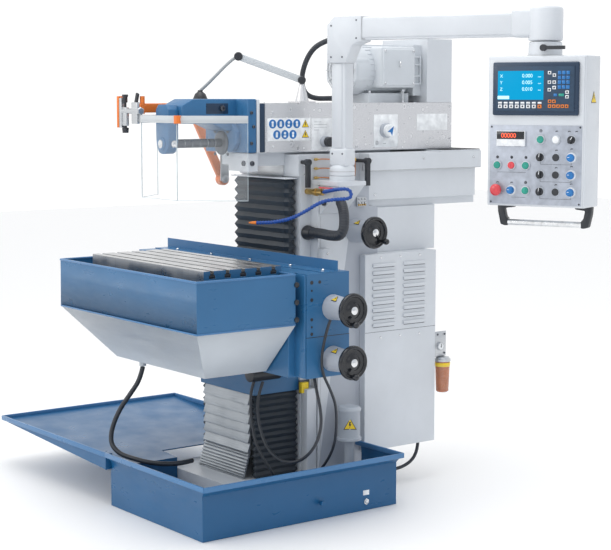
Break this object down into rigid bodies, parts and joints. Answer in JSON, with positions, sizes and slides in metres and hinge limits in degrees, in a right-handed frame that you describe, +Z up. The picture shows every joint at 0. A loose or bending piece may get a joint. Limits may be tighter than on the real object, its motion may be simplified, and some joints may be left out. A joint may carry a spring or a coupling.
{
  "type": "universal milling machine",
  "caption": "Floor-standing knee-type milling machine with travelling ram, angle table, chip tray, swing-out control pendant, work lamp and spindle guard.",
  "frame": {"origin": "on the floor, under the middle of the column's vertical guideway", "axes": "+X towards the operator's right, +Y from the front of the machine to the back, +Z up"},
  "size_m": [2.2091, 1.548, 1.798],
  "materials": {
    "column_grey": "semi-gloss white-light grey enamel",
    "machine_blue": "semi-gloss blue enamel",
    "pump_grey": "dark grey enamel",
    "lube_grey": "grey enamel",
    "brass_fitting": "turned",
    "cover_grey": "matte folded cloth and rubber",
    "bright_steel": "ground and turned",
    "hose_blue": "moulded",
    "conduit_black": "corrugated",
    "cable_black": "matte",
    "hose_grey": "matte",
    "hub_grey": "semi-gloss enamel",
    "table_iron": "ground",
    "swirl_steel": "swirl-brushed sheet",
    "motor_grey": "enamel",
    "guard_orange": "powder coat",
    "wheel_black": "moulded",
    "lever_red": "dipped",
    "lever_black": "moulded",
    "lamp_grey": "enamel",
    "guard_clear": "clear sheet in a painted rail",
    "button_red": "moulded",
    "button_green": "moulded",
    "button_white": "moulded",
    "knob_black": "moulded",
    "knob_blue": "moulded"
  },
  "bodies": {
    "frame_group": {"column_casting": "column_grey", "chip_tray": "machine_blue", "rear_enclosure": "column_grey", "coolant_pump": "pump_grey", "lubricator": "lube_grey", "rear_cable": "cable_black", "coolant_valve": "brass_fitting", "upper_bellows": "cover_grey", "lower_way_cover": "cover_grey", "z_ballscrew": "bright_steel", "coolant_hose": "hose_blue", "lower_conduit": "conduit_black", "upper_conduit": "conduit_black", "x_drive_cable": "cable_black", "feed_cable_left": "cable_black", "hopper_hose": "hose_grey"},
    "knee": {"feed_cable_right": "cable_black", "knee_casting": "machine_blue", "cross_slide_housing": "machine_blue", "wheel_hubs": "hub_grey"},
    "table": {"slide_plate": "table_iron", "angle_table": "table_iron", "splash_tray": "machine_blue"},
    "ram": {"ram_body": "column_grey", "ram_covers": "swirl_steel", "overarm": "machine_blue", "motor": "motor_grey", "belt_cover": "column_grey", "guard_bracket": "guard_orange"},
    "spindle": {"spindle": "bright_steel"},
    "arbor_support": {"arbor_support": "machine_blue"},
    "x_handwheel": {"x_handwheel": "wheel_black"},
    "y_handwheel": {"y_handwheel": "wheel_black"},
    "z_handwheel": {"z_handwheel": "wheel_black"},
    "valve_lever": {"valve_lever": "lever_red"},
    "clamp_lever_front": {"clamp_lever_front": "lever_black"},
    "clamp_lever_rear": {"clamp_lever_rear": "lever_black"},
    "gear_selector": {"gear_selector": "bright_steel"},
    "range_selector": {"range_selector": "bright_steel"},
    "swivel_boom": {"swivel_boom": "column_grey"},
    "pendant_box": {"pendant_box": "column_grey"},
    "pendant_lever": {"pendant_lever": "lever_black"},
    "lamp_arm": {"lamp_arm": "lamp_grey"},
    "guard_arm": {"guard_arm": "guard_orange"},
    "guard_screen": {"guard_screen": "guard_clear"},
    "emergency_stop": {"emergency_stop": "button_red"},
    "power_button": {"power_button": "button_green"},
    "light_button": {"light_button": "button_white"},
    "reverse_button": {"reverse_button": "button_green"},
    "stop_button": {"stop_button": "button_red"},
    "forward_button": {"forward_button": "button_green"},
    "coolant_button": {"coolant_button": "button_green"},
    "mode_selector": {"mode_selector": "knob_black"},
    "x_axis_selector": {"x_axis_selector": "knob_black"},
    "y_axis_selector": {"y_axis_selector": "knob_black"},
    "z_axis_selector": {"z_axis_selector": "knob_black"},
    "spindle_speed_knob": {"spindle_speed_knob": "knob_blue"},
    "x_feed_knob": {"x_feed_knob": "knob_blue"},
    "y_feed_knob": {"y_feed_knob": "knob_blue"},
    "z_feed_knob": {"z_feed_knob": "knob_blue"}
  },
  "joints": [
    {"name": "knee_slide", "type": "slide", "parent": "frame_group", "child": "knee", "axis": [0, 0, 1], "range_m": [-0.19, 0.2], "deforming": ["upper_bellows", "lower_way_cover", "coolant_hose", "x_drive_cable", "feed_cable_left", "feed_cable_right", "hopper_hose"]},
    {"name": "table_slide", "type": "slide", "parent": "knee", "child": "table", "axis": [1, 0, 0], "range_m": [-0.28, 0.12], "deforming": ["hopper_hose"]},
    {"name": "ram_slide", "type": "slide", "parent": "frame_group", "child": "ram", "axis": [0, 1, 0], "range_m": [-0.22, 0.08], "deforming": ["upper_conduit"]},
    {"name": "spindle_turn", "type": "hinge", "parent": "ram", "child": "spindle", "pos_m": [0, 0, 1.33], "axis": [0, -1, 0], "continuous": true},
    {"name": "arbor_support_slide", "type": "slide", "parent": "ram", "child": "arbor_support", "axis": [0, -1, 0], "range_m": [0, 0.02]},
    {"name": "x_handwheel_turn", "type": "hinge", "parent": "knee", "child": "x_handwheel", "pos_m": [0.6, -0.135, 0.775], "axis": [1, 0, 0], "continuous": true},
    {"name": "z_handwheel_turn", "type": "hinge", "parent": "knee", "child": "z_handwheel", "pos_m": [0.6, -0.135, 0.595], "axis": [1, 0, 0], "continuous": true},
    {"name": "y_handwheel_turn", "type": "hinge", "parent": "frame_group", "child": "y_handwheel", "pos_m": [0.3, 0.222, 1], "axis": [1, 0, 0], "continuous": true},
    {"name": "coolant_valve_turn", "type": "hinge", "parent": "frame_group", "child": "valve_lever", "pos_m": [0.275, 0.028, 1.16], "axis": [0, 0, 1], "range_deg": [-90, 0]},
    {"name": "clamp_lever_front_turn", "type": "hinge", "parent": "frame_group", "child": "clamp_lever_front", "pos_m": [0.19, 0.005, 1.26], "axis": [1, 0, 0], "range_deg": [-75, 8]},
    {"name": "clamp_lever_rear_turn", "type": "hinge", "parent": "frame_group", "child": "clamp_lever_rear", "pos_m": [0.23, 0.275, 1.259], "axis": [1, 0, 0], "range_deg": [-60, 60]},
    {"name": "gear_selector_turn", "type": "hinge", "parent": "ram", "child": "gear_selector", "pos_m": [0.14, 0.44, 1.369], "axis": [1, 0, 0], "range_deg": [-90, 90]},
    {"name": "range_selector_turn", "type": "hinge", "parent": "ram", "child": "range_selector", "pos_m": [0.14, 0.147, 1.331], "axis": [1, 0, 0], "range_deg": [-90, 90]},
    {"name": "boom_swivel", "type": "hinge", "parent": "frame_group", "child": "swivel_boom", "pos_m": [0.291, 0.114, 1.211], "axis": [0, 0, 1], "range_deg": [-80, 35]},
    {"name": "pendant_swivel", "type": "hinge", "parent": "swivel_boom", "child": "pendant_box", "pos_m": [1.02069, 0.40881, 1.684], "axis": [0, 0, 1], "range_deg": [-60, 60]},
    {"name": "pendant_lever_turn", "type": "hinge", "parent": "pendant_box", "child": "pendant_lever", "pos_m": [1.05347, 0.38107, 1.66], "axis": [0.3746, -0.9272, 0], "range_deg": [0, 30]},
    {"name": "lamp_tilt", "type": "hinge", "parent": "ram", "child": "lamp_arm", "pos_m": [0.1, 0.072, 1.559], "axis": [-0.8211, 0.5708, 0], "range_deg": [-3, 50]},
    {"name": "guard_arm_swing", "type": "hinge", "parent": "ram", "child": "guard_arm", "pos_m": [-0.229, -0.19, 1.447], "axis": [0, 0, 1], "range_deg": [-100, 0]},
    {"name": "guard_screen_swing", "type": "hinge", "parent": "guard_arm", "child": "guard_screen", "pos_m": [-0.126, -0.48, 1.455], "axis": [0, 0, 1], "range_deg": [-45, 0]},
    {"name": "power_button_push", "type": "slide", "parent": "pendant_box", "child": "power_button", "axis": [-0.3746, 0.9272, 0], "range_m": [0, 0.004], "stiffness_N_per_m": 600},
    {"name": "light_button_push", "type": "slide", "parent": "pendant_box", "child": "light_button", "axis": [-0.3746, 0.9272, 0], "range_m": [0, 0.004], "stiffness_N_per_m": 600},
    {"name": "reverse_button_push", "type": "slide", "parent": "pendant_box", "child": "reverse_button", "axis": [-0.3746, 0.9272, 0], "range_m": [0, 0.004], "stiffness_N_per_m": 600},
    {"name": "stop_button_push", "type": "slide", "parent": "pendant_box", "child": "stop_button", "axis": [-0.3746, 0.9272, 0], "range_m": [0, 0.004], "stiffness_N_per_m": 600},
    {"name": "forward_button_push", "type": "slide", "parent": "pendant_box", "child": "forward_button", "axis": [-0.3746, 0.9272, 0], "range_m": [0, 0.004], "stiffness_N_per_m": 600},
    {"name": "coolant_button_push", "type": "slide", "parent": "pendant_box", "child": "coolant_button", "axis": [-0.3746, 0.9272, 0], "range_m": [0, 0.004], "stiffness_N_per_m": 600},
    {"name": "emergency_stop_push", "type": "slide", "parent": "pendant_box", "child": "emergency_stop", "axis": [-0.3746, 0.9272, 0], "range_m": [0, 0.005], "stiffness_N_per_m": 900},
    {"name": "mode_selector_turn", "type": "hinge", "parent": "pendant_box", "child": "mode_selector", "pos_m": [1.16745, 0.39261, 1.356], "axis": [0.3746, -0.9272, 0], "range_deg": [-45, 45]},
    {"name": "x_axis_selector_turn", "type": "hinge", "parent": "pendant_box", "child": "x_axis_selector", "pos_m": [1.06546, 0.35141, 1.297], "axis": [0.3746, -0.9272, 0], "range_deg": [-45, 45]},
    {"name": "y_axis_selector_turn", "type": "hinge", "parent": "pendant_box", "child": "y_axis_selector", "pos_m": [1.06546, 0.35141, 1.239], "axis": [0.3746, -0.9272, 0], "range_deg": [-45, 45]},
    {"name": "z_axis_selector_turn", "type": "hinge", "parent": "pendant_box", "child": "z_axis_selector", "pos_m": [1.06546, 0.35141, 1.182], "axis": [0.3746, -0.9272, 0], "range_deg": [-45, 45]},
    {"name": "spindle_speed_knob_turn", "type": "hinge", "parent": "pendant_box", "child": "spindle_speed_knob", "pos_m": [0.96903, 0.31245, 1.184], "axis": [0.3746, -0.9272, 0], "range_deg": [-150, 150]},
    {"name": "x_feed_knob_turn", "type": "hinge", "parent": "pendant_box", "child": "x_feed_knob", "pos_m": [1.16745, 0.39261, 1.297], "axis": [0.3746, -0.9272, 0], "range_deg": [-150, 150]},
    {"name": "y_feed_knob_turn", "type": "hinge", "parent": "pendant_box", "child": "y_feed_knob", "pos_m": [1.16745, 0.39261, 1.239], "axis": [0.3746, -0.9272, 0], "range_deg": [-150, 150]},
    {"name": "z_feed_knob_turn", "type": "hinge", "parent": "pendant_box", "child": "z_feed_knob", "pos_m": [1.16745, 0.39261, 1.182], "axis": [0.3746, -0.9272, 0], "range_deg": [-150, 150]}
  ]
}
